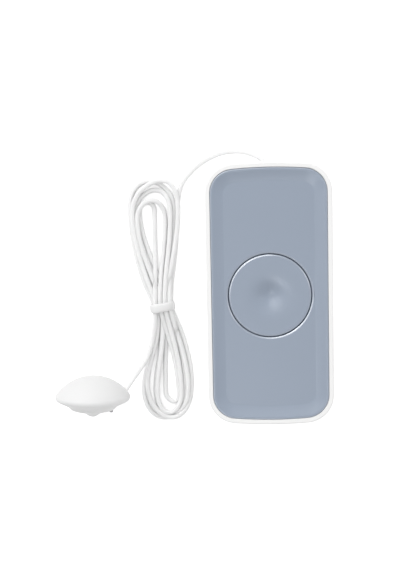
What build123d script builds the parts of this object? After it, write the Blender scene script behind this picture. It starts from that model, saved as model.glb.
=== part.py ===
from build123d import *
import math
import os

# A hand-sized flood sensor: a screwed case with a large press button, and a floor probe on a hanked cord.
# It lies on its back. +Z comes out of the front face, +Y points to the end that the cord leaves,
# and the origin is the middle of the back face. Lengths are millimetres, angles are degrees.

# Case ring
case_width = 50.0
case_length = 104.0
case_corner = 11.3
end_crown = 1.5
case_draft = 1.5
case_wall = 3.2
rim_width = 1.9
rim_outer_radius = 0.6
rim_inner_radius = 0.25
back_edge_radius = 0.8
column_radius = 3.4
column_side = 7.0
column_end = 8.6

# Back cover and its seal
cover_thickness = 1.8
cover_lip = 1.4
cover_gap = 0.15
cover_edge_radius = 0.25
seal_height = 0.6
seal_gap = 0.1
cover_rib_height = 0.9
cover_rib_width = 1.0
cover_rib_inset = 4.6

# Front panel, dished like a tray
panel_gap = 0.12
panel_step = 0.2
panel_floor = 1.6
panel_edge_radius = 0.15
dish_depth = 1.5
dish_lip = 0.3
dish_radius = 9.1
hook_width = 7.0
hook_wall = 1.0
hook_drop = 2.9
hook_gap = 0.2
hook_catch = 0.5
hook_nose = 1.1
hook_pitch = 28.0
pocket_depth = 0.9

# Press button
button_radius = 16.15
button_gap = 0.35
button_plate = 1.5
button_edge_radius = 0.3
button_travel = 0.5
skirt_wall = 1.4
flange_width = 1.1
flange_thickness = 0.8
flange_gap = 0.1
dimple_radius = 7.6
dimple_depth = 1.25
boss_radius = 2.2
boss_height = 1.85
button_rib_width = 0.8
button_rib_height = 0.8
button_rib_count = 8

# Cells and their holder
cell_radius = 5.25
cell_length = 44.5
cell_edge_radius = 0.5
nub_radius = 1.9
nub_height = 1.0
cell_gap = 0.2
bay_gap = 0.1
bay_rib = 1.1
holder_floor = 0.6
holder_wall = 1.1
holder_grip = 1.6
finger_notch_radius = 7.0
contact_space = 2.0
contact_thickness = 0.3
contact_width = 6.2
contact_reach = 3.6
leaf_width = 3.6
leaf_bend = 0.8
tab_width = 2.0
tab_gap = 0.1
tab_stand = 0.4

# Circuit board and what it carries
board_thickness = 1.0
board_gap = 0.8
screw_radius = 1.0
screw_fit = 0.02
screw_hole_gap = 0.2
head_radius = 1.9
head_height = 1.2
head_gap = 0.3
head_sink = 0.2
head_edge_radius = 0.3
recess_width = 0.5
recess_length = 2.2
recess_depth = 0.6
board_screw_length = 4.4
cover_screw_length = 6.4
pilot_spare = 0.6
switch_width = 6.2
switch_height = 1.2
switch_floor = 0.1
switch_edge = 0.3
switch_leg_width = 0.7
switch_leg_reach = 0.9
switch_leg_thickness = 0.3
plunger_radius = 1.75
plunger_gap = 0.1
plunger_stand = 0.55
stem_spare = 0.05
plunger_edge_radius = 0.2
chip_width = 7.0
chip_height = 0.9
chip_place = (-11.0, -27.0)
chip_legs = 8
chip_leg_width = 0.3
chip_leg_pitch = 0.75
chip_leg_reach = 0.8
chip_leg_thickness = 0.2
radio_width = 12.0
radio_length = 16.0
radio_thickness = 0.7
radio_setback = 14.6
shield_width = 10.6
shield_length = 10.6
shield_height = 1.2
shield_corner = 0.8
shield_offset = -1.9
antenna_width = 18.0
antenna_strip = 1.2
antenna_thickness = 0.3
antenna_height = 2.3
antenna_feed = 5.0
antenna_setback = 4.2
antenna_bend = 0.5
led_width = 2.0
led_length = 1.3
led_base = 0.5
led_lens_radius = 0.45
led_place = (13.0, -24.0)
header_width = 6.6
header_length = 5.0
header_height = 3.3
header_wall = 0.7
header_setback = 10.3
header_pin_width = 0.4
header_pin_length = 2.6
plug_gap = 0.1
plug_tail = 1.6
core_radius = 0.42
core_spread = 0.95

# Cord
cord_radius = 1.0
cord_exit_x = -1.2
cord_exit_height = 8.0
jacket_in_wall = 1.66
grommet_neck_radius = 2.4
grommet_flange_radius = 3.3
grommet_inner_flange = 1.0
grommet_collar = 0.4
grommet_edge_radius = 0.3
arc_share = 0.45
cord_lead_route = [
    (-1.2, 50.0, 8.0), (-1.2, 53.7, 8.0), (-5.0, 56.0, 7.4), (-11.2, 58.0, 5.6),
    (-19.2, 57.6, 2.6), (-28.2, 53.4, 1.0), (-35.0, 46.6, 1.0), (-36.9, 40.4, 1.0),
]
cord_tail_route = [
    (-49.4, -22.4, 4.0), (-51.2, -27.4, 4.3), (-54.6, -32.4, 6.6), (-57.6, -36.2, 10.3),
    (-60.2, -40.2, 12.3),
]

# Hank and its tie
hank_height = 4.6
hank_edge = 0.9
hank_middle = (-45.0, -2.9)
hank_width = 27.6
hank_length = 103.4
hank_outline_shares = [
    (-0.138, -0.020), (-0.254, 0.082), (-0.391, 0.173), (-0.493, 0.279), (-0.500, 0.386),
    (-0.413, 0.459), (-0.196, 0.498), (0.101, 0.500), (0.283, 0.457), (0.348, 0.376),
    (0.290, 0.221), (0.174, 0.067), (0.167, -0.026), (0.290, -0.117), (0.442, -0.233),
    (0.500, -0.339), (0.420, -0.436), (0.232, -0.494), (-0.051, -0.500), (-0.261, -0.456),
    (-0.341, -0.368), (-0.268, -0.266), (-0.167, -0.175),
]
tie_place = (-44.3, -5.8)
tie_turn = 8.5
tie_inner_width = 8.6
tie_inner_height = 5.8
tie_wall = 1.0
tie_width = 3.0
tie_edge_radius = 0.4
bundle_spare = 1.0

# Probe, lying on its rim with its axis level
probe_place = (-72.6, -40.95)
probe_turn = -2.0
probe_radius = 15.2
dome_height = 8.4
dome_sphere = 18.4
rim_round = 1.6
rim_drop = 1.5
probe_wall = 1.6
skirt_inset = 2.0
cone_foot_radius = 10.2
cone_foot_drop = 3.7
step_foot_radius = 8.9
step_foot_drop = 5.1
nipple_foot_radius = 3.6
nipple_foot_drop = 6.7
nipple_height = 8.45
nipple_radius = 1.6
nipple_crown = 0.4
probe_seam_gap = 0.1
spigot_height = 1.7
spigot_wall = 1.5
ring_radius = 0.4
ring_gap = 0.05
probe_well_radius = 9.0
probe_board_radius = 9.2
probe_board_thickness = 0.8
pin_radius = 0.75
pin_circle = 7.7
pin_stand = 0.9
pin_azimuths = (4.0, -116.0)
pin_head_radius = 1.1
pin_head_height = 0.9

# Cutters run past the faces that they cut by this much.
overrun = 1.0

# Heights that follow from the stack of pieces
cell_axis = cover_thickness + cell_gap + cell_radius
bay_radius = cell_radius + bay_gap
board_low = cell_axis + bay_radius + holder_floor
board_top = board_low + board_thickness
switch_top = board_top + switch_height
plunger_top = switch_top + plunger_stand
dish_floor = plunger_top + boss_height + button_plate
panel_top = dish_floor + dish_depth
case_height = panel_top + panel_step
cover_seat = cover_thickness + seal_height
ledge = dish_floor - panel_floor
flange_top = ledge - flange_gap
flange_low = flange_top - flange_thickness

# Places that follow from the case and the cells
cell_x = bay_radius + bay_rib / 2
contact_wall = cell_length / 2 + contact_space
column_x = case_width / 2 - column_side
column_y = case_length / 2 - column_end
cavity_end = case_length / 2 - case_wall
header_place = cavity_end - header_setback
panel_inset = rim_width + panel_gap


def case_outline(inset, height):
    """The case's outline moved in by the inset: straight sides, bowed ends and round corners."""
    x = case_width / 2 - inset
    y = case_length / 2 - inset
    shoulder = y - end_crown
    line = Line((-x, -shoulder), (-x, shoulder))
    line += ThreePointArc((-x, shoulder), (0, y), (x, shoulder))
    line += Line((x, shoulder), (x, -shoulder))
    line += ThreePointArc((x, -shoulder), (0, -y), (-x, -shoulder))
    face = make_face(line)
    return Pos(0, 0, height) * fillet(face.vertices(), case_corner - inset)


def case_prism(inset, low, high):
    """An upright solid with the case's outline, between two heights."""
    return extrude(case_outline(inset, low), amount=high - low)


def upright(radius, low, high):
    """A round post or hole about the Z axis, between two heights."""
    return Pos(0, 0, low) * Cylinder(radius, high - low, align=(Align.CENTER, Align.CENTER, Align.MIN))


def block(x, y, low, high, width, length):
    """A box centred on a plan position, between two heights."""
    box = Box(width, length, high - low, align=(Align.CENTER, Align.CENTER, Align.MIN))
    return Pos(x, y, low) * box


def at_corners(shape):
    """Four copies of a shape, one on each screw column."""
    places = [Pos(x, y, 0) for x in (-column_x, column_x) for y in (-column_y, column_y)]
    return Part() + [place * shape for place in places]


def tapered_case():
    """The closed outer form: it narrows towards the back so that it leaves its mould."""
    form = loft([case_outline(draft_shift(), 0), case_outline(0, case_height)], ruled=True)
    form = fillet(form.faces().sort_by(Axis.Z)[-1].edges(), rim_outer_radius)
    return fillet(form.faces().sort_by(Axis.Z)[0].edges(), back_edge_radius)


def hook_profile(clearance):
    """Section of a snap hook on the right wall, seen along Y, grown by a clearance for its pocket."""
    wall_x = case_width / 2 - case_wall
    outer = wall_x - hook_gap
    inner = outer - hook_wall
    catch = wall_x + hook_catch + clearance
    low = ledge - hook_drop
    return [
        (inner, ledge), (inner, low), (outer - hook_wall / 2, low - clearance), (catch, low + hook_nose / 2),
        (catch, low + hook_nose + clearance), (outer, low + hook_nose + clearance), (outer, ledge),
    ]


def at_hooks(shape):
    """Copies of a right-hand hook along both long sides."""
    right = [Pos(0, y, 0) * shape for y in (-hook_pitch, 0, hook_pitch)]
    return Part() + right + [mirror(copy, about=Plane.YZ) for copy in right]


def snap_hooks():
    """Six snap hooks that hold the front panel in the case."""
    face = Plane.XZ * make_face(Polyline(hook_profile(0), close=True))
    return at_hooks(extrude(face, amount=hook_width / 2, both=True))


def hook_pockets():
    """The pockets in the case's side walls that the hooks catch in."""
    wall_x = case_width / 2 - case_wall
    low = ledge - hook_drop - hook_gap
    high = ledge - hook_drop + hook_nose
    pocket = block(wall_x, 0, low, high, 2 * pocket_depth, hook_width + 2 * hook_gap)
    return at_hooks(pocket)


def cord_plane():
    """A frame on the cord's axis through the end wall, with its Z along +Y."""
    return Plane(origin=(cord_exit_x, 0, cord_exit_height), x_dir=(1, 0, 0), z_dir=(0, 1, 0))


def cord_hole():
    """The hole in the top end wall for the grommet, spot-faced inside and outside."""
    outside = case_length / 2 - draft_at_cord()
    hole = upright(grommet_neck_radius, cavity_end - overrun, outside + overrun)
    hole += upright(grommet_flange_radius, cavity_end - grommet_inner_flange, cavity_end)
    hole += upright(grommet_flange_radius, outside, outside + overrun)
    return cord_plane() * hole


def housing():
    """The moulded case ring: rim, panel ledge, screw columns, cover rebate and cord hole."""
    form = tapered_case()
    columns = at_corners(upright(column_radius, cover_seat, board_low)) & form
    shell = form - case_prism(case_wall, -overrun, case_height + overrun)
    shell -= case_prism(rim_width, ledge, case_height + overrun)
    rim = shell.faces().sort_by(Axis.Z)[-1]
    shell = fillet(rim.inner_wires()[0].edges(), rim_inner_radius)
    shell -= case_prism(cover_lip + draft_shift(), -overrun, cover_seat)
    shell += columns
    pilot = screw_radius + screw_fit
    shell -= at_corners(upright(pilot, cover_seat - overrun, cover_screw_tip() + pilot_spare))
    shell -= at_corners(upright(pilot, board_screw_tip() - pilot_spare, board_low + overrun))
    return shell - hook_pockets() - cord_hole()


def draft_shift():
    """How far the draft has moved the outer wall in at the back."""
    return case_height * math.tan(math.radians(case_draft))


def cover_screw_tip():
    """Height of the tip of a cover screw, whose head lies sunk in the cover."""
    return head_sink + head_height + cover_screw_length


def board_screw_tip():
    """Height of the tip of a board screw."""
    return board_top - board_screw_length


def back_cover():
    """The flat rear cover, with screw seats, pads under the columns and a stiffening rib."""
    edge = cover_lip + draft_shift() + cover_gap
    plate = case_prism(edge, 0, cover_thickness)
    plate = fillet(plate.faces().sort_by(Axis.Z)[0].edges(), cover_edge_radius)
    inside = case_prism(case_wall + seal_gap, cover_thickness, cover_seat)
    plate += at_corners(upright(column_radius, cover_thickness, cover_seat)) & inside
    rib = case_prism(cover_rib_inset, cover_thickness, cover_thickness + cover_rib_height)
    rib -= case_prism(cover_rib_inset + cover_rib_width, cover_thickness, case_height)
    rib -= at_corners(upright(column_radius + cover_rib_width, cover_thickness, case_height))
    plate += rib
    plate -= at_corners(upright(head_radius + head_gap, -overrun, head_sink + head_height))
    return plate - at_corners(upright(screw_radius + screw_hole_gap, -overrun, case_height))


def back_gasket():
    """The flat seal between the cover and the case's rear shoulder."""
    ring = case_prism(cover_lip + draft_shift() + seal_gap, cover_thickness, cover_seat)
    return ring - case_prism(case_wall, 0, case_height)


def dish_cutter():
    """The tray's hollow: a tall plug whose foot is rounded by the dish radius."""
    reach = math.sqrt(dish_radius ** 2 - (dish_radius - dish_depth) ** 2)
    inset = panel_inset + dish_lip - (dish_radius - reach)
    plug = case_prism(inset, dish_floor, dish_floor + dish_radius + overrun)
    return fillet(plug.faces().sort_by(Axis.Z)[0].edges(), dish_radius)


def front_panel():
    """The dished front panel with the button's hole and its snap hooks."""
    plate = case_prism(panel_inset, ledge, panel_top)
    plate = fillet(plate.faces().sort_by(Axis.Z)[-1].edges(), panel_edge_radius)
    plate -= dish_cutter()
    hole = button_radius + button_gap
    plate -= upright(hole, ledge - overrun, case_height)
    low, high = dish_floor - panel_edge_radius, dish_floor + panel_edge_radius
    circles = plate.edges().filter_by(GeomType.CIRCLE).filter_by_position(Axis.Z, low, high)
    plate = fillet(circles.sort_by_distance((0, 0, dish_floor))[0], panel_edge_radius)
    return plate + snap_hooks()


def button():
    """The round button: finger dimple, skirt, retaining flange, centre boss and stiffening ribs."""
    thick_low = dish_floor - button_plate
    inner = button_radius - skirt_wall
    flange = button_radius + button_gap + flange_width
    level = (1, 0)
    line = Spline((0, dish_floor - dimple_depth), (dimple_radius, dish_floor), tangents=(level, level))
    line += Line((dimple_radius, dish_floor), (button_radius, dish_floor))
    line += Polyline(
        (button_radius, dish_floor), (button_radius, flange_top), (flange, flange_top), (flange, flange_low),
        (inner, flange_low), (inner, thick_low), (dimple_radius, thick_low),
    )
    line += Spline((0, thick_low - dimple_depth), (dimple_radius, thick_low), tangents=(level, level))
    line += Line((0, thick_low - dimple_depth), (0, dish_floor - dimple_depth))
    body = revolve(Plane.XZ * make_face(line), Axis.Z)
    rim = body.edges().filter_by(GeomType.CIRCLE).filter_by_position(Axis.Z, dish_floor, dish_floor)
    body = fillet(rim.sort_by(SortBy.LENGTH)[-1], button_edge_radius)
    boss = upright(boss_radius, plunger_top, thick_low - dimple_depth / 2)
    rib_length = inner - boss_radius / 2
    rib_x = (inner + boss_radius / 2) / 2
    rib = block(rib_x, 0, thick_low - button_rib_height, thick_low, rib_length, button_rib_width)
    ribs = [Rot(0, 0, turn * 360 / button_rib_count) * rib for turn in range(button_rib_count)]
    return body + boss + ribs


def switch_plunger():
    """The tact switch's stem, which the button's boss stands on."""
    low = board_top + switch_floor + button_travel + stem_spare
    stem = upright(plunger_radius, low, plunger_top)
    return fillet(stem.faces().sort_by(Axis.Z)[0].edges(), plunger_edge_radius)


def tact_switch():
    """The switch's frame with its stem bore and four legs."""
    frame = block(0, 0, board_top, switch_top, switch_width, switch_width)
    frame = chamfer(frame.edges().filter_by(Axis.Z), switch_edge)
    reach = switch_width + 2 * switch_leg_reach
    leg_y = switch_width / 2 - switch_leg_width
    leg_top = board_top + switch_leg_thickness
    frame += [block(0, y, board_top, leg_top, reach, switch_leg_width) for y in (-leg_y, leg_y)]
    return frame - upright(plunger_radius + plunger_gap, board_top + switch_floor, switch_top + overrun)


def circuit_board():
    """The main board, with screw holes and the slots for the contacts' tabs."""
    plate = case_prism(case_wall + board_gap, board_low, board_top)
    plate -= at_corners(upright(screw_radius + screw_hole_gap, 0, case_height))
    return plate - contact_slots()


def contact_slots():
    """Slots through the holder's floor and the board for the contacts' tabs."""
    width = tab_width + 2 * tab_gap
    depth = contact_thickness + 2 * tab_gap
    plane = contact_wall - contact_thickness / 2
    places = [(-cell_x, plane), (cell_x, plane), (cell_x, -plane)]
    return Part() + [block(x, y, cell_axis, board_top + overrun, width, depth) for x, y in places]


def screw(shank):
    """A small pan-head screw with a cross recess: its head's seat is at Z = 0 and its shank points down."""
    head = upright(head_radius, 0, head_height)
    head = fillet(head.faces().sort_by(Axis.Z)[-1].edges(), head_edge_radius)
    cut = [block(0, 0, head_height - recess_depth, head_height + overrun, *size)
           for size in ((recess_length, recess_width), (recess_width, recess_length))]
    return head - cut + upright(screw_radius, -shank, 0)


def board_screws():
    """Four screws that hold the board on the columns."""
    return at_corners(Pos(0, 0, board_top) * screw(board_screw_length))


def cover_screws():
    """Four screws that hold the rear cover, driven from behind."""
    return at_corners(Pos(0, 0, head_sink + head_height) * Rot(180, 0, 0) * screw(cover_screw_length))


def controller_chip():
    """The controller, with a row of legs along each side."""
    x, y = chip_place
    low = board_top + chip_leg_thickness / 2
    body = block(0, 0, low, low + chip_height, chip_width, chip_width)
    first = -(chip_legs - 1) / 2 * chip_leg_pitch
    leg_length = chip_width + 2 * chip_leg_reach
    leg = block(first, 0, board_top, board_top + chip_leg_thickness, chip_leg_width, leg_length)
    legs = [Pos(index * chip_leg_pitch, 0, 0) * leg for index in range(chip_legs)]
    legs += [Rot(0, 0, 90) * leg for leg in legs]
    return Pos(x, y, 0) * (body + legs)


def radio_module():
    """The radio: a small board with a pressed shield can."""
    top = board_top + radio_thickness
    base = block(0, 0, board_top, top, radio_width, radio_length)
    can = block(0, shield_offset, top, top + shield_height, shield_width, shield_length)
    can = fillet(can.edges().filter_by(Axis.Z), shield_corner)
    return Pos(0, cavity_end - radio_setback, 0) * (base + can)


def antenna():
    """A folded strip aerial that stands on a feed leg and a ground leg."""
    half = antenna_width / 2
    top = board_top + antenna_height - antenna_thickness / 2
    path = FilletPolyline((-half, board_top), (-half, top), (half, top), radius=antenna_bend)
    strip = extrude(Plane.XZ * trace(path, antenna_thickness), amount=antenna_strip / 2, both=True)
    strip += block(antenna_feed - half, 0, board_top, top, antenna_thickness, antenna_strip)
    return Pos(0, cavity_end - antenna_setback, 0) * strip


def status_led():
    """A small lamp on the board that shines through the front panel."""
    x, y = led_place
    base = block(0, 0, board_top, board_top + led_base, led_width, led_length)
    lens = Pos(0, 0, board_top + led_base) * Sphere(led_lens_radius)
    return Pos(x, y, 0) * (base + lens)


def connector_header():
    """The socket for the cord, under the board near its top edge, open towards the cord."""
    low = board_low - header_height
    body = block(cord_exit_x, header_place, low, board_low, header_width, header_length)
    mouth = block(cord_exit_x, header_place + header_wall, low + header_wall, board_low - header_wall,
                  header_width - 2 * header_wall, header_length)
    middle = board_low - header_height / 2
    first = header_place - header_length / 2
    pins = [
        block(cord_exit_x + side * core_spread, first + header_pin_length / 2, middle - header_pin_width / 2,
              middle + header_pin_width / 2, header_pin_width, header_pin_length)
        for side in (-1, 1)
    ]
    return body - mouth + pins


def connector_plug():
    """The plug on the cord's two cores, pushed into the header."""
    low = board_low - header_height + header_wall + plug_gap
    high = board_low - header_wall - plug_gap
    start = header_place - header_length / 2 + header_pin_length + plug_gap
    end = plug_end()
    width = header_width - 2 * header_wall - 2 * plug_gap
    return block(cord_exit_x, (start + end) / 2, low, high, width, end - start)


def plug_end():
    """Where the plug ends, towards the grommet."""
    return header_place + header_length / 2 + plug_tail


def arc_radii(points):
    """One radius for each corner of a route: a share of its shorter run over the tangent of half the turn."""
    radii = []
    for before, here, after in zip(points, points[1:], points[2:]):
        arriving = Vector(*here) - Vector(*before)
        leaving = Vector(*after) - Vector(*here)
        half_turn = math.radians(arriving.get_angle(leaving)) / 2
        radii.append(arc_share * min(arriving.length, leaving.length) / math.tan(half_turn))
    return radii


def tube(points, radius):
    """A round tube along straight runs that are joined by tangent arcs."""
    path = FilletPolyline(*points, radius=arc_radii(points))
    start = Plane(origin=points[0], z_dir=Vector(*points[1]) - Vector(*points[0]))
    solid = sweep(start * Circle(radius), path=path)
    share = solid.volume / (math.pi * radius ** 2 * path.length)
    print("tube radii", [round(value, 1) for value in arc_radii(points)], "volume share", round(share, 4))
    return solid


def core_route(side):
    """One core's way from the plug, down to the grommet and into the cord's end."""
    x = cord_exit_x + side * core_spread
    near = cord_exit_x + side * cord_radius / 2
    plug_height = board_low - header_height / 2
    inner = cavity_end - grommet_inner_flange
    gap = inner - plug_end()
    return [
        (x, plug_end(), plug_height), (x, plug_end() + gap / 3, plug_height),
        (near, inner - gap / 2, cord_exit_height), (near, cord_end(), cord_exit_height),
    ]


def cord_end():
    """Where the cord's jacket ends inside the grommet."""
    return case_length / 2 - jacket_in_wall - draft_at_cord()


def draft_at_cord():
    """How far the draft has moved the end wall in at the cord's height."""
    return (case_height - cord_exit_height) * math.tan(math.radians(case_draft))


def cord_cores():
    """The cord's two insulated cores between its jacket and the plug."""
    return Part() + [tube(core_route(side), core_radius) for side in (-1, 1)]


def cord_grommet():
    """The soft bushing in the end wall: an inner flange, a neck and a thin outer collar."""
    wall_out = case_length / 2 - draft_at_cord()
    flange = upright(grommet_flange_radius, cavity_end - grommet_inner_flange, cavity_end)
    neck = upright(grommet_neck_radius, cavity_end, wall_out)
    collar = upright(grommet_flange_radius, wall_out, wall_out + grommet_collar)
    collar = fillet(collar.faces().sort_by(Axis.Z)[-1].edges(), grommet_edge_radius)
    bore = upright(cord_radius, cord_end(), case_length)
    core = upright(core_radius, 0, case_length)
    cores = [Pos(side * cord_radius / 2, 0, 0) * core for side in (-1, 1)]
    return cord_plane() * (flange + neck + collar - bore - cores)


def battery_holder():
    """The cradle under the board: two bays with end walls, open towards the rear cover."""
    low = cell_axis - holder_grip
    width = 2 * (cell_x + bay_radius + holder_wall)
    length = 2 * (contact_wall + holder_wall)
    body = block(0, 0, low, board_low, width, length)
    bay = Location((0, 0, cell_axis), (90, 0, 0)) * Cylinder(bay_radius, 2 * contact_wall)
    bay += block(0, 0, low - overrun, cell_axis, 2 * bay_radius, 2 * contact_wall)
    body -= [Pos(side * cell_x, 0, 0) * bay for side in (-1, 1)]
    body -= Location((0, 0, low), (0, 90, 0)) * Cylinder(finger_notch_radius, width + overrun)
    link_space = contact_space / 2
    body -= block(0, link_space / 2 - contact_wall, low - overrun, cell_axis + contact_reach + tab_gap,
                  2 * cell_x, link_space)
    return body - contact_slots()


def battery(side):
    """One cell: its nub points to +Y in the left bay and to -Y in the right one."""
    end = cell_length / 2
    can = upright(cell_radius, -end, end - nub_height)
    can = fillet(can.faces().sort_by(Axis.Z)[-1].edges(), cell_edge_radius)
    can += upright(nub_radius, end - nub_height - cell_edge_radius, end)
    place = Plane(origin=(side * cell_x, 0, cell_axis), z_dir=(0, -side, 0))
    return place * can


def contact_leaf():
    """The sprung tongue of a contact at the +Y end, from its plate's foot to the cell and back."""
    back = contact_wall - contact_thickness / 2
    front = cell_length / 2 + contact_thickness / 2
    path = FilletPolyline(
        (back, cell_axis - contact_reach), (front, cell_axis - contact_reach / 4),
        (front, cell_axis + contact_reach / 4),
        (back - contact_thickness, cell_axis + contact_reach * 3 / 4), radius=leaf_bend,
    )
    return extrude(Plane.YZ * trace(path, contact_thickness), amount=leaf_width / 2, both=True)


def contact_plate(width):
    """A contact's plate, flat against the end wall."""
    middle = contact_wall - contact_thickness / 2
    return block(0, middle, cell_axis - contact_reach, cell_axis + contact_reach, width, contact_thickness)


def contact_tab():
    """A contact's solder tab, which passes up through the holder and the board."""
    middle = contact_wall - contact_thickness / 2
    return block(0, middle, cell_axis, board_top + tab_stand, tab_width, contact_thickness)


def end_contact(side):
    """The contact for one cell at the +Y end."""
    contact = contact_plate(contact_width) + contact_leaf() + contact_tab()
    return Pos(side * cell_x, 0, 0) * contact


def link_contact():
    """The contact at the -Y end that joins both cells and taps their middle."""
    leaf = contact_leaf()
    contact = contact_plate(2 * cell_x + contact_width)
    contact += [Pos(side * cell_x, 0, 0) * leaf for side in (-1, 1)]
    contact += Pos(-cell_x, 0, 0) * contact_tab()
    return Rot(0, 0, 180) * contact


def cord_lead():
    """The cord from the grommet, down to the surface and along to the hank."""
    return tube(cord_lead_route, cord_radius)


def cord_tail():
    """The cord from the hank up into the side of the probe."""
    return tube(cord_tail_route, cord_radius)


def tie_plane():
    """A frame on the bundle's waist: its Z runs along the bundle and its Y points up."""
    angle = math.radians(tie_turn)
    middle = tie_wall + tie_inner_height / 2
    along = (-math.sin(angle), math.cos(angle), 0)
    across = (-math.cos(angle), -math.sin(angle), 0)
    return Plane(origin=(*tie_place, middle), x_dir=across, z_dir=along)


def hank_tie():
    """The soft band round the hank's waist."""
    inner = Ellipse(tie_inner_width / 2, tie_inner_height / 2)
    outer = Ellipse(tie_inner_width / 2 + tie_wall, tie_inner_height / 2 + tie_wall)
    band = extrude(outer, amount=tie_width / 2, both=True)
    band = fillet(band.edges().filter_by(GeomType.LINE, reverse=True), tie_edge_radius)
    return tie_plane() * (band - extrude(inner, amount=tie_width, both=True))


def cord_hank():
    """The folded cord's outer form: two long loops that the tie draws together and lifts at the waist."""
    x, y = hank_middle
    outline = [(x + across * hank_width, y + along * hank_length) for across, along in hank_outline_shares]
    round_trip = [outline[-1]] + outline + [outline[0]]
    line = FilletPolyline(*outline, radius=arc_radii(round_trip), close=True)
    slab = extrude(make_face(line), amount=hank_height)
    slab = chamfer(slab.faces().sort_by(Axis.Z)[-1].edges(), hank_edge)
    section = Ellipse(tie_inner_width / 2, tie_inner_height / 2)
    waist = extrude(section, amount=tie_width / 2 + bundle_spare, both=True)
    return slab + tie_plane() * waist - hank_tie()


def probe_plane():
    """The probe's frame: its Z is the probe's axis, level and pointing to the dome."""
    angle = math.radians(probe_turn)
    return Plane(
        origin=(*probe_place, probe_radius), x_dir=(math.cos(angle), math.sin(angle), 0),
        z_dir=(-math.sin(angle), math.cos(angle), 0),
    )


def dome_form():
    """The dome's outer form: a shallow sphere that rolls over a round rim to the seam."""
    centre = dome_height - dome_sphere
    rim_x = probe_radius - rim_round
    rise = math.sqrt((dome_sphere - rim_round) ** 2 - rim_x ** 2)
    scale = dome_sphere / (dome_sphere - rim_round)
    joint = (rim_x * scale, centre + rise * scale)
    crest = (joint[0] / 2, centre + math.sqrt(dome_sphere ** 2 - (joint[0] / 2) ** 2))
    rim_z = centre + rise
    seam = (seam_radius(), -rim_drop)
    line = ThreePointArc((0, dome_height), crest, joint)
    line += ThreePointArc(joint, (probe_radius, rim_z), seam)
    line += Polyline(seam, (0, -rim_drop), (0, dome_height))
    return revolve(Plane.XZ * make_face(line), Axis.Z)


def seam_radius():
    """Outer radius where the dome's rolled rim meets the underside."""
    rim_x = probe_radius - rim_round
    rim_z = dome_height - dome_sphere + math.sqrt((dome_sphere - rim_round) ** 2 - rim_x ** 2)
    return rim_x + math.sqrt(rim_round ** 2 - (rim_z + rim_drop) ** 2)


def skirt_radius():
    """Inner radius of the dome's skirt, which the base's spigot enters."""
    return probe_radius - skirt_inset


def dome_hollow():
    """The dome's inside: a smaller sphere over the skirt's round bore."""
    ball = Pos(0, 0, dome_height - dome_sphere) * Sphere(dome_sphere - probe_wall)
    return ball & upright(skirt_radius(), -rim_drop - overrun, dome_height)


def probe_dome():
    """The probe's upper shell: a shallow dome with a rolled rim, and the cord's entry."""
    body = dome_form() - dome_hollow()
    last, end = cord_tail_route[-2], cord_tail_route[-1]
    entry = Plane(origin=end, z_dir=Vector(*last) - Vector(*end))
    return probe_plane() * body - entry * upright(cord_radius, 0, probe_radius)


def well_floor():
    """Height of the floor inside the underside."""
    return probe_wall - step_foot_drop


def spigot_radius():
    """Outer radius of the base's spigot, which enters the dome."""
    return skirt_radius() - probe_seam_gap


def probe_base():
    """The underside, turned from one section: cone, step, nipple, well, and a spigot with the ring's groove."""
    seam = (seam_radius(), -rim_drop)
    tip = (nipple_radius, nipple_crown - nipple_height)
    ball = (nipple_radius ** 2 + nipple_crown ** 2) / (2 * nipple_crown)
    round_tip = (nipple_radius / 2, ball - nipple_height - math.sqrt(ball ** 2 - nipple_radius ** 2 / 4))
    end = (0, -nipple_height)
    bore = nipple_foot_radius - probe_wall
    bore_floor = probe_wall - nipple_foot_drop
    mouth = spigot_radius() - spigot_wall
    spigot_top = spigot_height - rim_drop
    groove_low = ring_height() - ring_radius - ring_gap
    groove_high = ring_height() + ring_radius + ring_gap
    groove = skirt_radius() - 2 * ring_radius
    line = Polyline(
        seam, (cone_foot_radius, -cone_foot_drop), (step_foot_radius, -step_foot_drop),
        (nipple_foot_radius, -nipple_foot_drop), tip,
    )
    line += ThreePointArc(tip, round_tip, end)
    line += Polyline(
        end, (0, bore_floor), (bore, bore_floor), (bore, well_floor()), (probe_well_radius, well_floor()),
        (mouth, -rim_drop), (mouth, spigot_top), (spigot_radius(), spigot_top),
        (spigot_radius(), groove_high), (groove, groove_high), (groove, groove_low),
        (spigot_radius(), groove_low), (spigot_radius(), -rim_drop), seam,
    )
    body = revolve(Plane.XZ * make_face(line), Axis.Z)
    return probe_plane() * (body - pin_holes())


def at_pins(shape):
    """Copies of a shape at the two contact pins, in the probe's own frame."""
    places = [Rot(0, 0, -azimuth) * Pos(pin_circle, 0, 0) for azimuth in pin_azimuths]
    return Part() + [place * shape for place in places]


def pin_tip():
    """How far below the rim a contact pin reaches."""
    share = (pin_circle - nipple_foot_radius) / (step_foot_radius - nipple_foot_radius)
    surface = nipple_foot_drop + share * (step_foot_drop - nipple_foot_drop)
    return surface + pin_stand


def pin_holes():
    """The holes that the contact pins are moulded into."""
    return at_pins(upright(pin_radius, -probe_radius, 0))


def probe_board_low():
    """Height of the probe board's underside, on the pins' heads."""
    return well_floor() + pin_head_height


def contact_pins():
    """Two metal contact pins with round tips, headed under the probe's board."""
    low = -pin_tip()
    pin = upright(pin_radius, low, probe_board_low())
    pin = fillet(pin.faces().sort_by(Axis.Z)[0].edges(), pin_radius / 2)
    pin += upright(pin_head_radius, probe_board_low() - pin_head_height, probe_board_low())
    return probe_plane() * at_pins(pin)


def probe_board():
    """The round board inside the probe, on the pins' heads."""
    low = probe_board_low()
    return probe_plane() * upright(probe_board_radius, low, low + probe_board_thickness)


def ring_height():
    """Height of the sealing ring, half way up the spigot."""
    return spigot_height / 2 - rim_drop


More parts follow.
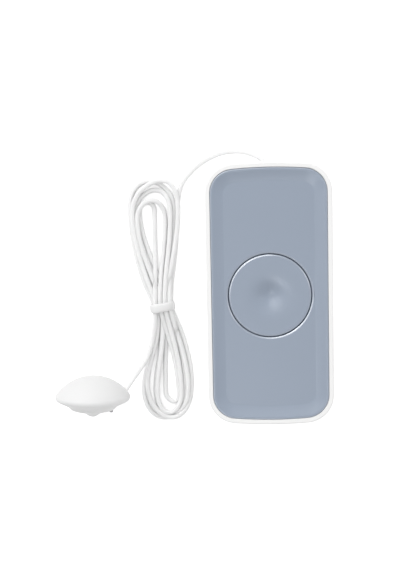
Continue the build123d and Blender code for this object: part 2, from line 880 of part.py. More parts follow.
def probe_gasket():
    """The ring that seals the probe's two shells, in the spigot's groove."""
    return probe_plane() * (Pos(0, 0, ring_height()) * Torus(skirt_radius() - ring_radius, ring_radius))


parts = {
    "housing": housing,
    "back_cover": back_cover,
    "back_gasket": back_gasket,
    "cover_screws": cover_screws,
    "front_panel": front_panel,
    "button": button,
    "switch_plunger": switch_plunger,
    "tact_switch": tact_switch,
    "circuit_board": circuit_board,
    "board_screws": board_screws,
    "controller_chip": controller_chip,
    "radio_module": radio_module,
    "antenna": antenna,
    "status_led": status_led,
    "connector_header": connector_header,
    "connector_plug": connector_plug,
    "cord_cores": cord_cores,
    "cord_grommet": cord_grommet,
    "battery_holder": battery_holder,
    "battery_left": lambda: battery(-1),
    "battery_right": lambda: battery(1),
    "positive_contact": lambda: end_contact(-1),
    "negative_contact": lambda: end_contact(1),
    "link_contact": link_contact,
    "cord_lead": cord_lead,
    "cord_hank": cord_hank,
    "cord_tail": cord_tail,
    "hank_tie": hank_tie,
    "probe_dome": probe_dome,
    "probe_base": probe_base,
    "probe_gasket": probe_gasket,
    "probe_board": probe_board,
    "contact_pins": contact_pins,
}

os.makedirs("parts", exist_ok=True)
for name, make in parts.items():
    export_step(Part() + make(), f"parts/{name}.step")
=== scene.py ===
import math
import bmesh
import bpy
import numpy as np
from mathutils import Euler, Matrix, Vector


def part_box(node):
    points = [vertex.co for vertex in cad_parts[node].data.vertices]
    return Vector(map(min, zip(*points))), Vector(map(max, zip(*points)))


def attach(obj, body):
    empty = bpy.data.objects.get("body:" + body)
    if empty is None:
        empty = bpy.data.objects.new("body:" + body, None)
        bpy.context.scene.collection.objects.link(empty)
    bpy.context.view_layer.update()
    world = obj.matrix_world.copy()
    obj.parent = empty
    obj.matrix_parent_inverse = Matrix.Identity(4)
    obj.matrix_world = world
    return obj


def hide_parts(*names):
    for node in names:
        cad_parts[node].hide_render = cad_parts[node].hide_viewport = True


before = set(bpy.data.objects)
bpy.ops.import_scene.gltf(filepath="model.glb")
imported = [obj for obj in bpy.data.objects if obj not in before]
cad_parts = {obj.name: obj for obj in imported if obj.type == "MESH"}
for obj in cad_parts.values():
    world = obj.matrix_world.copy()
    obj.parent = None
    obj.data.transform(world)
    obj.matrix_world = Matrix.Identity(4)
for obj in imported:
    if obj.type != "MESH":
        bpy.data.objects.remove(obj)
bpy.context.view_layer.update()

# The white case: a moulded tray and a screwed back cover of matte white ABS. The tray's mould gives it a
# very fine even grain, and its rim stands round the grey panel. Each finish below is a few shader nodes.
MM = 0.001
GLOSS_SPREAD = 0.05


def from_screen(red, green, blue):
    """The linear colour of a display value: the piecewise sRGB curve, worked out for the three channels."""
    level = np.array((red, green, blue)) / 255
    linear = np.where(level <= 0.04045, level / 12.92, ((level + 0.055) / 1.055) ** 2.4)
    return (*linear.tolist(), 1)


def moulding(name, colour, shade, roughness, grain, relief, mottle=60):
    """Slow noise mixes the colour and its shade; fine noise gives the grain's bump and shifts the gloss."""
    finish = bpy.data.materials.new(name)
    finish.use_nodes = True
    tree = finish.node_tree
    shader = tree.nodes["Principled BSDF"]
    place = tree.nodes.new("ShaderNodeTexCoord")
    slow = tree.nodes.new("ShaderNodeTexNoise")
    slow.inputs["Scale"].default_value = mottle
    slow.inputs["Detail"].default_value = 4
    fine = tree.nodes.new("ShaderNodeTexNoise")
    fine.inputs["Scale"].default_value = grain
    fine.inputs["Detail"].default_value = 3
    mix = tree.nodes.new("ShaderNodeMix")
    mix.data_type = "RGBA"
    mix.inputs["A"].default_value = colour
    mix.inputs["B"].default_value = shade
    gloss = tree.nodes.new("ShaderNodeMapRange")
    gloss.inputs["To Min"].default_value = roughness - GLOSS_SPREAD
    gloss.inputs["To Max"].default_value = roughness + GLOSS_SPREAD
    bump = tree.nodes.new("ShaderNodeBump")
    bump.inputs["Strength"].default_value = 0.5
    bump.inputs["Distance"].default_value = relief
    tree.links.new(place.outputs["Object"], slow.inputs["Vector"])
    tree.links.new(place.outputs["Object"], fine.inputs["Vector"])
    tree.links.new(slow.outputs["Fac"], mix.inputs["Factor"])
    tree.links.new(mix.outputs["Result"], shader.inputs["Base Color"])
    tree.links.new(fine.outputs["Fac"], gloss.inputs["Value"])
    tree.links.new(gloss.outputs["Result"], shader.inputs["Roughness"])
    tree.links.new(fine.outputs["Fac"], bump.inputs["Height"])
    tree.links.new(bump.outputs["Normal"], shader.inputs["Normal"])
    return finish


def dress(finish, *names):
    """Puts one finish on every material slot of the named solids."""
    for name in names:
        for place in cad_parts[name].material_slots:
            place.material = finish


case_white = moulding("case_white", (0.89, 0.89, 0.885, 1), (0.87, 0.87, 0.865, 1), 0.48, 3200, 0.00002)
dress(case_white, "housing", "back_cover")

# The front panel: a dished plate of satin blue-grey ABS that snaps into the tray. Its lip stands a hair
# under the rim, its dish falls to a flat floor, and the edge of the button's hole has a polished bevel.
# A bend is (place in from the lip, slope in degrees). A bevel point is (distance from the edge, drop).
PANEL_GREY = from_screen(151, 162, 178)
PANEL_SHADE = from_screen(147, 158, 174)
CASE_HALF = (25.0, 52.0)
CASE_CORNER = 11.3
END_BOW = 1.5
PANEL_INSET = 1.93
PANEL_TOP, DISH_FLOOR, PANEL_LOW = 20.8, 19.3, 17.7
LIP_ROUND = 0.55
DISH_BEND = [(0.55, 0), (0.8, 8), (1.3, 25), (3.2, 21), (5.0, 14), (5.3, 0)]
BUTTON_PLACE = (0.15, -0.42)
HOLE_RADIUS = 16.72
EDGE_BEVEL = np.array([(0.85, 0), (0.65, 0), (0.55, 0.03), (0.12, 0.33), (0.03, 0.42), (0, 0.6)])
SIDE_STEPS, CORNER_STEPS, BOW_STEPS = 24, 24, 12
LIP_STEPS, FALL_STEPS, FLOOR_STEPS = 6, 40, 7
FLOOR_EASE = 0.15
LIP_RINGS = slice(2, 6)
HOLE_BEVEL_RINGS = slice(-5, -2)


def polished_edge(finish):
    """A clear polish on the edges: the mesh's polish value, from none to one, is a glossy coat's weight."""
    tree = finish.node_tree
    shader = tree.nodes["Principled BSDF"]
    edge = tree.nodes.new("ShaderNodeAttribute")
    edge.attribute_name = "polish"
    shader.inputs["Coat IOR"].default_value = 2.1
    shader.inputs["Coat Roughness"].default_value = 0.30
    tree.links.new(edge.outputs["Fac"], shader.inputs["Coat Weight"])
    return finish


panel_grey = polished_edge(moulding("panel_grey", PANEL_GREY, PANEL_SHADE, 0.36, 2600, 0.000015, mottle=25))


def case_ring(inset):
    """The case's outline moved in: half a side, a round corner and half a bowed end, mirrored three times."""
    x, y, corner = CASE_HALF[0] - inset, CASE_HALF[1] - inset, CASE_CORNER - inset
    bow = (x ** 2 + END_BOW ** 2) / (2 * END_BOW)
    turn = y - bow + math.sqrt((bow - corner) ** 2 - (x - corner) ** 2)
    meet = math.atan2(turn - (y - bow), x - corner)
    along = np.linspace(0, turn, SIDE_STEPS, endpoint=False)
    low = np.linspace(0, meet, CORNER_STEPS, endpoint=False)
    high = np.linspace(meet, math.pi / 2, BOW_STEPS, endpoint=False)
    side_x = np.full(SIDE_STEPS, x)
    quarter_x = np.concatenate([side_x, x - corner + corner * np.cos(low), bow * np.cos(high)])
    quarter_y = np.concatenate([along, turn + corner * np.sin(low), y - bow + bow * np.sin(high)])
    half_x = np.concatenate([quarter_x, [0], -quarter_x[:0:-1]])
    half_y = np.concatenate([quarter_y, [y], quarter_y[:0:-1]])
    return np.stack([np.concatenate([half_x, -half_x]), np.concatenate([half_y, -half_y])], axis=1)


def panel_rings():
    """Rings from the skirt's foot over the lip, down the dish by its bend angles, and across to the hole."""
    quarter = np.linspace(0, math.pi / 2, LIP_STEPS)
    places, bends = np.array(DISH_BEND).T
    fine = np.linspace(places[0], places[-1], FALL_STEPS)
    slopes = np.interp((fine[1:] + fine[:-1]) / 2, places, bends)
    fall = np.concatenate([[0], np.cumsum(np.tan(np.radians(slopes)))])
    fall *= (PANEL_TOP - DISH_FLOOR) / fall[-1]
    inset = np.concatenate([[0], LIP_ROUND * (1 - np.cos(quarter)), fine[1:], [fine[-1] + FLOOR_EASE]])
    height = np.concatenate([[PANEL_LOW], PANEL_TOP - LIP_ROUND * (1 - np.sin(quarter)), PANEL_TOP - fall[1:],
                             [DISH_FLOOR]])
    outer = np.stack([case_ring(PANEL_INSET + away) for away in inset])
    way = outer[-1] - BUTTON_PLACE
    way /= np.linalg.norm(way, axis=1)[:, None]
    reach = np.concatenate([HOLE_RADIUS + EDGE_BEVEL[:, 0], [HOLE_RADIUS]])
    hole = BUTTON_PLACE + way[None] * reach[:, None, None]
    hole_height = np.concatenate([DISH_FLOOR - EDGE_BEVEL[:, 1], [PANEL_LOW]])
    share = np.linspace(0, 1, FLOOR_STEPS)[1:-1, None, None]
    floor_rings = outer[-1][None] * (1 - share) + hole[0][None] * share
    flat = np.concatenate([outer, floor_rings, hole])
    level = np.concatenate([height, np.full(len(floor_rings), DISH_FLOOR), hole_height])
    return np.dstack([flat, np.broadcast_to(level[:, None], flat.shape[:2])])


def skin(name, rings, finish, body, stands_for, capped=False, polished=()):
    """A closed piece from rings of points, in millimetres: quads join each ring to the next one. The last
    ring joins the first, unless the piece is capped, with both end rings shrunk to a point. Its signed volume
    turns the faces outwards. The polish is one on the polished rings and falls to nothing on the next."""
    rows, columns = rings.shape[:2]
    row = np.arange(rows - 1 if capped else rows)[:, None]
    column = np.arange(columns)[None, :]
    next_row, next_column = (row + 1) % rows, (column + 1) % columns
    corners = (row * columns + column, row * columns + next_column,
               next_row * columns + next_column, next_row * columns + column)
    spread = [np.broadcast_to(corner, (len(row), columns)) for corner in corners]
    quads = np.stack(spread, axis=2).reshape(-1, 4)
    flat = rings.reshape(-1, 3) * MM
    a, b, c, d = (flat[quads[:, corner]] for corner in range(4))
    if (np.cross(b - a, c - a) * a).sum() + (np.cross(c - a, d - a) * a).sum() < 0:
        quads = quads[:, ::-1]
    mesh = bpy.data.meshes.new(name)
    mesh.from_pydata(flat.tolist(), [], quads.tolist())
    polish = np.zeros((rows, columns))
    for some_rings in polished:
        polish[some_rings] = 1
    mesh.attributes.new("polish", "FLOAT", "POINT").data.foreach_set("value", polish.ravel())
    shape = bmesh.new()
    shape.from_mesh(mesh)
    bmesh.ops.remove_doubles(shape, verts=shape.verts, dist=MM / 1000)
    shape.to_mesh(mesh)
    shape.free()
    mesh.shade_smooth()
    mesh.materials.append(finish)
    piece = bpy.data.objects.new(name, mesh)
    bpy.context.scene.collection.objects.link(piece)
    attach(piece, body)
    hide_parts(*stands_for)


skin("dished_panel", panel_rings(), panel_grey, "case", ["front_panel"],
     polished=[LIP_RINGS, HOLE_BEVEL_RINGS])
dress(panel_grey, "front_panel")

# The round button is moulded in the panel's material. A thumb's dimple is sunk in its middle, a flange under
# the panel keeps it in, and its centre boss stands on the switch's stem. Its underside is (radius, height).
BUTTON_RADIUS = 16.35
DIMPLE_DEPTH, DIMPLE_SPREAD = 2.8, 5.0
DIMPLE_REACH, DIMPLE_STEPS = 14, 43
BUTTON_STEPS = 192
BUTTON_UNDER = [(16.35, 17.42), (17.2, 17.42), (17.2, 16.8), (15.0, 16.8),
                (15.0, 17.8), (4.5, 17.8), (4.5, 15.95), (0, 15.95)]
BEVEL_FROM = -len(BUTTON_UNDER) - 4
BEVEL_RINGS = slice(BEVEL_FROM, BEVEL_FROM + 3)
button_grey = polished_edge(moulding("button_grey", PANEL_GREY, PANEL_SHADE, 0.36, 2600, 0.000012, mottle=25))


def button_rings():
    """A profile turned about the button's axis: the dimple, depth * e^-(radius / spread)^2, then the bevelled
    edge and the parts below."""
    out = np.linspace(0, DIMPLE_REACH, DIMPLE_STEPS)
    top = DISH_FLOOR - DIMPLE_DEPTH * np.exp(-(out / DIMPLE_SPREAD) ** 2)
    under = np.array(BUTTON_UNDER)
    radius = np.concatenate([out, BUTTON_RADIUS - EDGE_BEVEL[:, 0], under[:, 0]])
    height = np.concatenate([top, DISH_FLOOR - EDGE_BEVEL[:, 1], under[:, 1]])
    around = np.linspace(0, 2 * math.pi, BUTTON_STEPS, endpoint=False)
    x = BUTTON_PLACE[0] + radius[:, None] * np.cos(around)
    y = BUTTON_PLACE[1] + radius[:, None] * np.sin(around)
    return np.dstack([x, y, np.broadcast_to(height[:, None], x.shape)])


skin("press_button", button_rings(), button_grey, "button", ["button"], capped=True,
     polished=[BEVEL_RINGS])
dress(button_grey, "button")

# The works under the panel, which show when the case is open: a solder-masked board with copper runs under
# the mask, a moulded chip and switch, a pressed shield can, a lamp, and a nylon plug with its red cores.
BOARD_GREEN = (0.018, 0.105, 0.045, 1)
RUN_GREEN = (0.035, 0.19, 0.075, 1)


def masked_board(name, run_width):
    """Two crossed stripe waves, cut to narrow runs, lift and lighten the mask over the copper."""
    finish = bpy.data.materials.new(name)
    finish.use_nodes = True
    tree = finish.node_tree
    shader = tree.nodes["Principled BSDF"]
    shader.inputs["Roughness"].default_value = 0.3
    place = tree.nodes.new("ShaderNodeTexCoord")
    mix = tree.nodes.new("ShaderNodeMix")
    mix.data_type = "RGBA"
    mix.inputs["A"].default_value = BOARD_GREEN
    mix.inputs["B"].default_value = RUN_GREEN
    bump = tree.nodes.new("ShaderNodeBump")
    bump.inputs["Distance"].default_value = 0.00004
    runs = []
    for direction in ("X", "Y"):
        wave = tree.nodes.new("ShaderNodeTexWave")
        wave.bands_direction = direction
        wave.inputs["Scale"].default_value = 90
        wave.inputs["Distortion"].default_value = 6
        wave.inputs["Detail"].default_value = 0
        cut = tree.nodes.new("ShaderNodeMath")
        cut.operation = "GREATER_THAN"
        cut.inputs[1].default_value = 1 - run_width
        tree.links.new(place.outputs["Object"], wave.inputs["Vector"])
        tree.links.new(wave.outputs["Fac"], cut.inputs[0])
        runs.append(cut)
    both = tree.nodes.new("ShaderNodeMath")
    both.operation = "MAXIMUM"
    tree.links.new(runs[0].outputs[0], both.inputs[0])
    tree.links.new(runs[1].outputs[0], both.inputs[1])
    tree.links.new(both.outputs[0], mix.inputs["Factor"])
    tree.links.new(both.outputs[0], bump.inputs["Height"])
    tree.links.new(mix.outputs["Result"], shader.inputs["Base Color"])
    tree.links.new(bump.outputs["Normal"], shader.inputs["Normal"])
    return finish


dress(masked_board("board_mask", 0.12), "circuit_board")
dress(masked_board("probe_board_mask", 0.2), "probe_board")
dress(moulding("chip_black", (0.02, 0.02, 0.022, 1), (0.03, 0.03, 0.032, 1), 0.5, 5000, 0.00002),
      "controller_chip", "tact_switch")
dress(moulding("plunger_black", (0.025, 0.025, 0.028, 1), (0.035, 0.035, 0.038, 1), 0.4, 3000, 0.00001),
      "switch_plunger", "battery_holder")
dress(moulding("nylon_white", (0.68, 0.67, 0.62, 1), (0.63, 0.62, 0.57, 1), 0.45, 3000, 0.00001),
      "connector_header", "connector_plug")
dress(moulding("core_red", (0.33, 0.018, 0.012, 1), (0.27, 0.014, 0.01, 1), 0.45, 3000, 0.00001),
      "cord_cores")
dress(moulding("seal_grey", (0.05, 0.053, 0.06, 1), (0.04, 0.043, 0.05, 1), 0.75, 2400, 0.00003),
      "back_gasket", "probe_gasket")
lamp_clear = moulding("lamp_clear", (0.7, 0.9, 0.8, 1), (0.66, 0.86, 0.76, 1), 0.12, 900, 0.000003)
lamp_clear.node_tree.nodes["Principled BSDF"].inputs["Transmission Weight"].default_value = 0.8
dress(lamp_clear, "status_led")


# The metal pieces: zinc-plated screws and contacts, a tinned antenna, a pressed shield can and the probe's
# two pins. Turned or rolled metal shows fine streaks one way, so noise is stretched along each.
def metal(name, colour, roughness, stretch):
    """Streaked metal: noise that is squeezed across the streaks moves the gloss and gives a faint bump."""
    finish = bpy.data.materials.new(name)
    finish.use_nodes = True
    tree = finish.node_tree
    shader = tree.nodes["Principled BSDF"]
    shader.inputs["Base Color"].default_value = colour
    shader.inputs["Metallic"].default_value = 1
    place = tree.nodes.new("ShaderNodeTexCoord")
    squeeze = tree.nodes.new("ShaderNodeMapping")
    squeeze.inputs["Scale"].default_value = stretch
    streak = tree.nodes.new("ShaderNodeTexNoise")
    streak.inputs["Scale"].default_value = 900
    gloss = tree.nodes.new("ShaderNodeMapRange")
    gloss.inputs["To Min"].default_value = roughness - 0.08
    gloss.inputs["To Max"].default_value = roughness + 0.1
    bump = tree.nodes.new("ShaderNodeBump")
    bump.inputs["Strength"].default_value = 0.3
    bump.inputs["Distance"].default_value = 0.00001
    tree.links.new(place.outputs["Object"], squeeze.inputs["Vector"])
    tree.links.new(squeeze.outputs["Vector"], streak.inputs["Vector"])
    tree.links.new(streak.outputs["Fac"], gloss.inputs["Value"])
    tree.links.new(gloss.outputs["Result"], shader.inputs["Roughness"])
    tree.links.new(streak.outputs["Fac"], bump.inputs["Height"])
    tree.links.new(bump.outputs["Normal"], shader.inputs["Normal"])
    return finish


dress(metal("screw_zinc", (0.56, 0.56, 0.57, 1), 0.3, (1, 1, 6)), "cover_screws", "board_screws")
dress(metal("contact_spring", (0.6, 0.59, 0.57, 1), 0.25, (6, 1, 1)),
      "positive_contact", "negative_contact", "link_contact")
dress(metal("antenna_tin", (0.62, 0.62, 0.6, 1), 0.3, (1, 6, 1)), "antenna")
dress(metal("shield_can", (0.65, 0.65, 0.64, 1), 0.35, (1, 8, 1)), "radio_module")
dress(metal("pin_steel", (0.36, 0.36, 0.37, 1), 0.32, (1, 6, 1)), "contact_pins")

# The two AAA cells: steel cans in a shrunk film sleeve of plain blue, with one paler band near the plus end.
# The band's place along the cell is read from the Object coordinates, and the film has a long soft ripple.
SLEEVE_BLUE = (0.02, 0.075, 0.15, 1)
SLEEVE_BAND = (0.45, 0.46, 0.47, 1)
BAND_FROM = -0.012
for cell, towards_plus in (("battery_left", 1), ("battery_right", -1)):
    sleeve = moulding(cell + "_sleeve", SLEEVE_BLUE, SLEEVE_BLUE, 0.28, 300, 0.00003)
    tree = sleeve.node_tree
    mix = next(node for node in tree.nodes if node.type == "MIX")
    mix.inputs["B"].default_value = SLEEVE_BAND
    apart = tree.nodes.new("ShaderNodeSeparateXYZ")
    band = tree.nodes.new("ShaderNodeMath")
    band.operation = "GREATER_THAN" if towards_plus > 0 else "LESS_THAN"
    middle = (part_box(cell)[0][1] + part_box(cell)[1][1]) / 2
    band.inputs[1].default_value = middle - towards_plus * BAND_FROM
    place = next(node for node in tree.nodes if node.type == "TEX_COORD")
    tree.links.new(place.outputs["Object"], apart.inputs["Vector"])
    tree.links.new(apart.outputs["Y"], band.inputs[0])
    tree.links.new(band.outputs[0], mix.inputs["Factor"])
    dress(sleeve, cell)

# The bushing where the cord leaves the case, and the tie round the hank: both are soft white rubber. The
# tie is a fat band, stretched round the bundle and slightly askew, whose outside swells like a cushion.
TIE_MIDDLE = (-44.3, -5.8, 4.0)
TIE_TURN = math.radians(7)
TIE_HOLE = (4.05, 2.75)
TIE_WIDTH = 3.7
TIE_WALL = 1.25
FLAT_SIDES, FLAT_TOP = 0.85, 0.7
AROUND, ACROSS = 120, 28
soft_white = moulding("soft_white", (0.84, 0.84, 0.84, 1), (0.80, 0.80, 0.80, 1), 0.55, 1800, 0.00004)
dress(soft_white, "cord_grommet", "hank_tie")


def band_rings():
    """An oval section carried round a squared oval, whose cosine and sine are raised to a power below one.
    The band is thicker on top, and slow sines wave its width and its place along the hank."""
    around = np.linspace(0, 2 * math.pi, AROUND, endpoint=False)[:, None]
    across = np.linspace(0, 2 * math.pi, ACROSS, endpoint=False)[None, :]
    thick = TIE_WALL * (1 + 0.1 * np.maximum(np.sin(around), 0))
    out = thick / 2 * (1 + np.cos(across))
    width = TIE_WIDTH / 2 * (1 + 0.05 * np.sin(3 * around + 1) + 0.03 * np.sin(7 * around))
    x = np.sign(np.cos(around)) * np.abs(np.cos(around)) ** FLAT_SIDES * (TIE_HOLE[0] + out)
    y = width * np.sin(across) + 0.12 * np.sin(2 * around + 0.5)
    z = np.sign(np.sin(around)) * np.abs(np.sin(around)) ** FLAT_TOP * (TIE_HOLE[1] + out)
    turned_x = TIE_MIDDLE[0] + x * math.cos(TIE_TURN) - y * math.sin(TIE_TURN)
    turned_y = TIE_MIDDLE[1] + x * math.sin(TIE_TURN) + y * math.cos(TIE_TURN)
    return np.stack([turned_x, turned_y, TIE_MIDDLE[2] + z], axis=2)


skin("tie_band", band_rings(), soft_white, "case", ["hank_tie"])

# The cord is one piece of soft white alarm cord, 2 mm thick. It leaves the bushing in the case's top end,
# drops to the table, goes round the hank's five turns and rises into the side of the probe.
# Its places are chosen in millimetres, and each turn has two round ends and four legs from the tied waist.
CORD_THICKNESS = 2.0 * MM
LEAD_ROUTE = [
    (-1.2, 50.0, 8.0), (-1.2, 53.7, 8.0), (-5.0, 56.0, 7.4), (-11.2, 58.0, 5.6),
    (-19.2, 57.6, 2.6), (-28.2, 53.4, 1.0), (-35.0, 46.6, 1.0), (-36.9, 40.4, 1.0),
]
LEAD_IN = [(-37.6, 33.0, 1.0), (-37.9, 24.0, 1.0), (-39.0, 14.0, 1.2), (-40.6, 4.0, 1.6)]
TAIL_OUT = [(-47.3, -5.8, 5.5), (-47.3, -11.3, 4.9), (-48.2, -16.9, 4.3)]
TAIL_ROUTE = [
    (-49.4, -22.4, 4.0), (-51.2, -27.4, 4.3), (-54.6, -32.4, 6.6), (-57.6, -36.2, 10.3),
    (-60.2, -40.2, 12.3),
]
WAIST_Y = -5.8
# A waist is (x, height). A side is (x, height, how late the leg swings out). An end is (lean, tip, shoulder,
# height): the tip and the shoulder, where the side starts to turn, are places along y. A leg comes down to
# its side's height in the first part of its way. After the last turn comes the tail's first point.
TURNS = [
    {"down": (-41.3, 2.0), "low_right": (-32.8, 1.0, 0.9), "low_end": (1.0, -53.3, -39.0, 2.9),
     "low_left": (-51.8, 2.6, 3.6), "up": (-46.3, 3.8), "top_left": (-56.3, 2.6, 1.0),
     "top_end": (3.0, 47.0, 34.6, 3.0), "top_right": (-36.9, 2.7, 2.0)},
    {"down": (-42.3, 3.8), "low_right": (-34.2, 2.4, 1.0), "low_end": (-0.8, -53.7, -41.3, 1.0),
     "low_left": (-53.6, 1.0, 3.2), "up": (-47.3, 2.0), "top_left": (-57.4, 1.0, 0.75),
     "top_end": (-1.0, 46.9, 36.0, 1.0), "top_right": (-38.7, 1.0, 2.2)},
    {"down": (-41.3, 5.5), "low_right": (-35.7, 1.0, 1.0), "low_end": (-0.6, -51.7, -41.6, 1.0),
     "low_left": (-48.5, 1.0, 5.0), "up": (-45.3, 2.0), "top_left": (-55.3, 1.0, 1.0),
     "top_end": (1.4, 43.2, 33.6, 1.0), "top_right": (-40.2, 2.5, 2.2)},
    {"down": (-43.3, 5.5), "low_right": (-37.2, 2.4, 1.1), "low_end": (-0.2, -51.1, -42.6, 2.9),
     "low_left": (-47.5, 2.8, 3.6), "up": (-44.3, 3.8), "top_left": (-54.3, 2.6, 1.3),
     "top_end": (0.6, 38.8, 31.0, 2.9), "top_right": (-42.5, 1.0, 2.6)},
    {"down": (-45.3, 5.5), "low_right": (-38.5, 1.0, 1.2), "low_end": (0.8, -46.6, -42.6, 1.0),
     "low_left": (-44.1, 1.0, 2.0), "up": (-43.3, 2.0), "top_left": (-53.4, 1.0, 1.8),
     "top_end": (0.6, 38.0, 34.0, 1.0), "top_right": (-47.0, 1.0, 1.0)},
]
LEG_STEPS = 5
END_STEPS = 7
COME_DOWN = 1.9


def leg(waist, side, shoulder):
    """Points from the waist out to a side: x goes by a power of a quarter sine, y evenly."""
    share = np.arange(1, LEG_STEPS) / LEG_STEPS
    x = waist[0] + (side[0] - waist[0]) * np.sin(share * math.pi / 2) ** side[2]
    y = WAIST_Y + (shoulder - WAIST_Y) * share
    z = waist[1] + (side[1] - waist[1]) * np.minimum(1, share * COME_DOWN)
    return np.stack([x, y, z], axis=1)


def round_end(first, last, end):
    """Half an ellipse from side to side; sine squared leans its far point along x and sets its height."""
    angle = np.linspace(0, math.pi, END_STEPS + 1)
    out = np.sin(angle)
    share = (1 - np.cos(angle)) / 2
    lean, tip, shoulder, height = end
    x = first[0] + (last[0] - first[0]) * share + lean * out ** 2
    y = shoulder + (tip - shoulder) * out
    z = first[1] + (last[1] - first[1]) * share + (height - (first[1] + last[1]) / 2) * out ** 2
    return np.stack([x, y, np.maximum(z, CORD_THICKNESS / MM / 2)], axis=1)


points = [LEAD_ROUTE, LEAD_IN]
for number, turn in enumerate(TURNS):
    following = TURNS[number + 1]["down"] if number + 1 < len(TURNS) else TAIL_OUT[0][::2]
    low_shoulder, top_shoulder = turn["low_end"][2], turn["top_end"][2]
    points.append([[turn["down"][0], WAIST_Y, turn["down"][1]]])
    points.append(leg(turn["down"], turn["low_right"], low_shoulder))
    points.append(round_end(turn["low_right"], turn["low_left"], turn["low_end"]))
    points.append(leg(turn["up"], turn["low_left"], low_shoulder)[::-1])
    points.append([[turn["up"][0], WAIST_Y, turn["up"][1]]])
    points.append(leg(turn["up"], turn["top_left"], top_shoulder))
    points.append(round_end(turn["top_left"], turn["top_right"], turn["top_end"]))
    points.append(leg(following, turn["top_right"], top_shoulder)[::-1])
cord_points = np.concatenate(points + [TAIL_OUT, TAIL_ROUTE]) * MM
curve = bpy.data.curves.new("cord", "CURVE")
curve.dimensions = "3D"
curve.resolution_u = 8
curve.bevel_depth = CORD_THICKNESS / 2
curve.bevel_resolution = 6
curve.use_fill_caps = True
spline = curve.splines.new("NURBS")
spline.points.add(len(cord_points) - 1)
spline.points.foreach_set("co", np.c_[cord_points, np.ones(len(cord_points))].ravel())
spline.order_u = 3
spline.use_endpoint_u = True
cord = bpy.data.objects.new("cord", curve)
bpy.context.scene.collection.objects.link(cord)
cord_white = moulding("cord_white", (0.885, 0.885, 0.885, 1), (0.87, 0.87, 0.87, 1), 0.6, 2200, 0.00003)
jacket = cord_white.node_tree.nodes["Principled BSDF"]
jacket.inputs["Specular IOR Level"].default_value = 0.25
jacket.inputs["Subsurface Weight"].default_value = 0.4
jacket.inputs["Subsurface Radius"].default_value = (1, 1, 1)
jacket.inputs["Subsurface Scale"].default_value = 0.0008
curve.materials.append(cord_white)
dress(cord_white, "cord_lead", "cord_hank", "cord_tail")
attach(cord, "case")
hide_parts("cord_lead", "cord_hank", "cord_tail")

# The probe: a lens of two white ABS shells that lies on its rim, with a stepped base, a small nipple in the
# base's middle and two pins. Its mould is smoother than the case's.
probe_white = moulding("probe_white", (0.79, 0.79, 0.79, 1), (0.77, 0.77, 0.77, 1), 0.55, 3600, 0.00001)
probe_white.node_tree.nodes["Principled BSDF"].inputs["Specular IOR Level"].default_value = 0.3
dress(probe_white, "probe_dome", "probe_base")

# The camera looks straight down on the flat lay from a third of a metre, turned as the photograph shows.
IMAGE_WIDTH, IMAGE_HEIGHT = 420, 572
FOCAL_PIXELS = 800
SENSOR = 36.0
camera = bpy.data.objects.new("camera", bpy.data.cameras.new("camera"))
camera.data.sensor_width = SENSOR
camera.data.lens = SENSOR * FOCAL_PIXELS / max(IMAGE_WIDTH, IMAGE_HEIGHT)
camera.data.clip_start, camera.data.clip_end = 0.01, 10
camera.location = (-10.04 * MM, 27.64 * MM, 335.93 * MM)
camera.rotation_euler = Euler([math.radians(turn) for turn in (-4.355, 2.366, -1.141)], "XYZ")
bpy.context.scene.collection.objects.link(camera)
bpy.context.scene.camera = camera

# The table is a plain white sheet. To the camera and in gloss it adds some light of its own, so that it
# comes out white and still shows the object's closest shadow.
FLOOR_REACH = 3.0
TABLE_GLOW = 0.5
floor_mesh = bpy.data.meshes.new("floor")
corners = [(-FLOOR_REACH, -FLOOR_REACH, 0), (FLOOR_REACH, -FLOOR_REACH, 0),
           (FLOOR_REACH, FLOOR_REACH, 0), (-FLOOR_REACH, FLOOR_REACH, 0)]
floor_mesh.from_pydata(corners, [], [(0, 1, 2, 3)])
floor = bpy.data.objects.new("floor", floor_mesh)
bpy.context.scene.collection.objects.link(floor)
table_white = bpy.data.materials.new("table_white")
table_white.use_nodes = True
tree = table_white.node_tree
sheet = tree.nodes["Principled BSDF"]
sheet.inputs["Base Color"].default_value = (0.88, 0.88, 0.88, 1)
sheet.inputs["Roughness"].default_value = 0.9
sheet.inputs["Specular IOR Level"].default_value = 0.0
sheet.inputs["Emission Color"].default_value = (1, 1, 1, 1)
ray = tree.nodes.new("ShaderNodeLightPath")
seen = tree.nodes.new("ShaderNodeMath")
seen.operation = "MAXIMUM"
lit = tree.nodes.new("ShaderNodeMath")
lit.operation = "MULTIPLY"
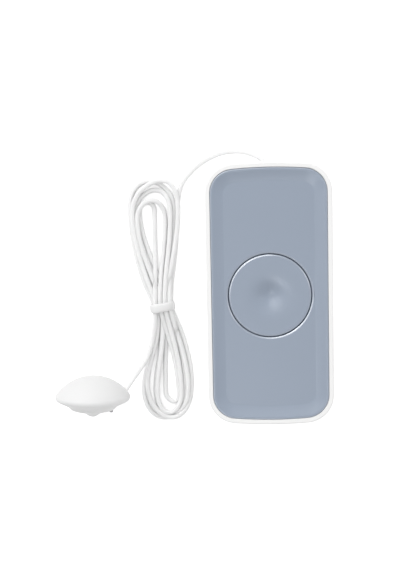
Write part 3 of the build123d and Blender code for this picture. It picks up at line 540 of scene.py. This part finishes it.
lit.inputs[1].default_value = TABLE_GLOW
tree.links.new(ray.outputs["Is Camera Ray"], seen.inputs[0])
tree.links.new(ray.outputs["Is Glossy Ray"], seen.inputs[1])
tree.links.new(seen.outputs[0], lit.inputs[0])
tree.links.new(lit.outputs[0], sheet.inputs["Emission Strength"])
floor_mesh.materials.append(table_white)

# The room: even white light from all round, a low lamp at the upper left that draws the dish and the dimple,
# a broad one above it and a weak one at the right. The last three lamps show only as gloss: two draw the
# bright bevels of the button's ring, and one lightens the near end. The camera sees the room as white.
ROOM_LEVEL = 0.74
world = bpy.data.worlds.new("studio")
world.use_nodes = True
tree = world.node_tree
room = tree.nodes["Background"]
room.inputs["Color"].default_value = (1, 1, 1, 1)
ray = tree.nodes.new("ShaderNodeLightPath")
level = tree.nodes.new("ShaderNodeMapRange")
level.inputs["To Min"].default_value = ROOM_LEVEL
level.inputs["To Max"].default_value = 1.0
tree.links.new(ray.outputs["Is Camera Ray"], level.inputs["Value"])
tree.links.new(level.outputs["Result"], room.inputs["Strength"])
bpy.context.scene.world = world
LAMPS = [
    ("low_lamp", (-0.95, 1.20, 0.75), 0.45, 6.6, True),
    ("broad_lamp", (-0.45, 0.72, 1.35), 0.90, 4.2, True),
    ("side_lamp", (1.30, 0.45, 0.60), 0.60, 2.6, True),
    ("left_edge_lamp", (-1.50, 0.55, 0.75), 1.20, 12.0, False),
    ("far_edge_lamp", (-0.35, 1.55, 0.75), 1.20, 15.0, False),
    ("near_gloss_lamp", (-0.32, -0.60, 1.25), 0.50, 3.4, False),
]
for name, place, width, power, lights_matte in LAMPS:
    lamp = bpy.data.objects.new(name, bpy.data.lights.new(name, "AREA"))
    lamp.data.shape = "SQUARE"
    lamp.data.size = width
    lamp.data.energy = power
    lamp.visible_diffuse = lights_matte
    lamp.location = place
    lamp.rotation_euler = (Vector(place) * -1).to_track_quat("-Z", "Y").to_euler()
    bpy.context.scene.collection.objects.link(lamp)
bpy.context.scene.view_settings.view_transform = "Standard"
